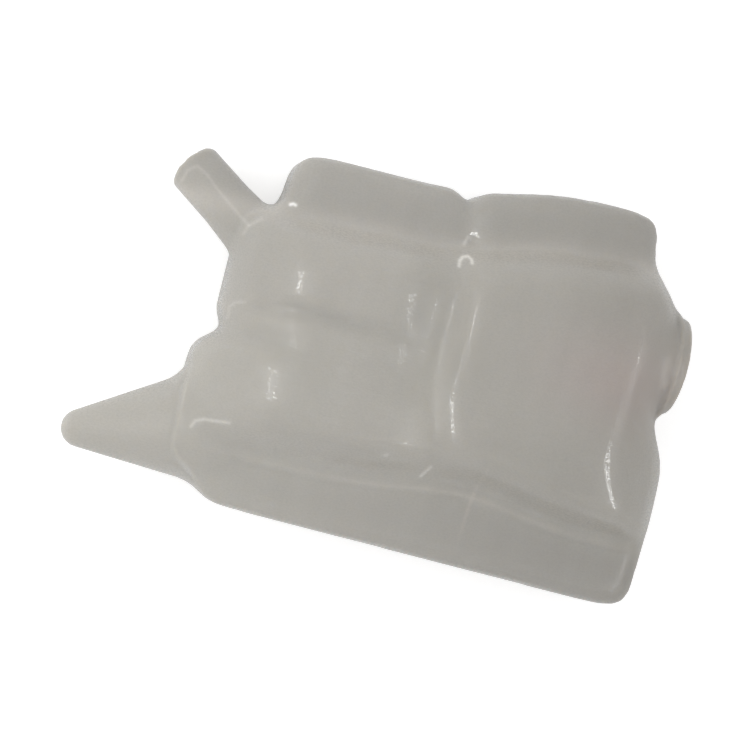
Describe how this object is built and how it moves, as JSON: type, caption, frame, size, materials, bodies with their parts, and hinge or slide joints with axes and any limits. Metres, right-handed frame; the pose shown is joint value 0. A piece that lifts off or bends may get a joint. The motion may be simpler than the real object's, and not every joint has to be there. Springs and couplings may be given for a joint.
{
  "type": "coolant expansion tank",
  "caption": "Hollow blow-moulded coolant expansion tank with rounded front lobes, a filler neck, a hose spigot and a locating lug.",
  "frame": {"origin": "on the flat back face, near the middle of the body, where the tank's plan has X and Y zero", "axes": "+X along the tank from the lug to the filler neck, +Y towards the edge beside the hose spigot, +Z from the flat back towards the lobed front"},
  "size_m": [0.2992, 0.1975, 0.077],
  "materials": {
    "natural_plastic": "milky natural polymer, softly glossy"
  },
  "bodies": {
    "root": {"tank": "natural_plastic"}
  },
  "joints": []
}
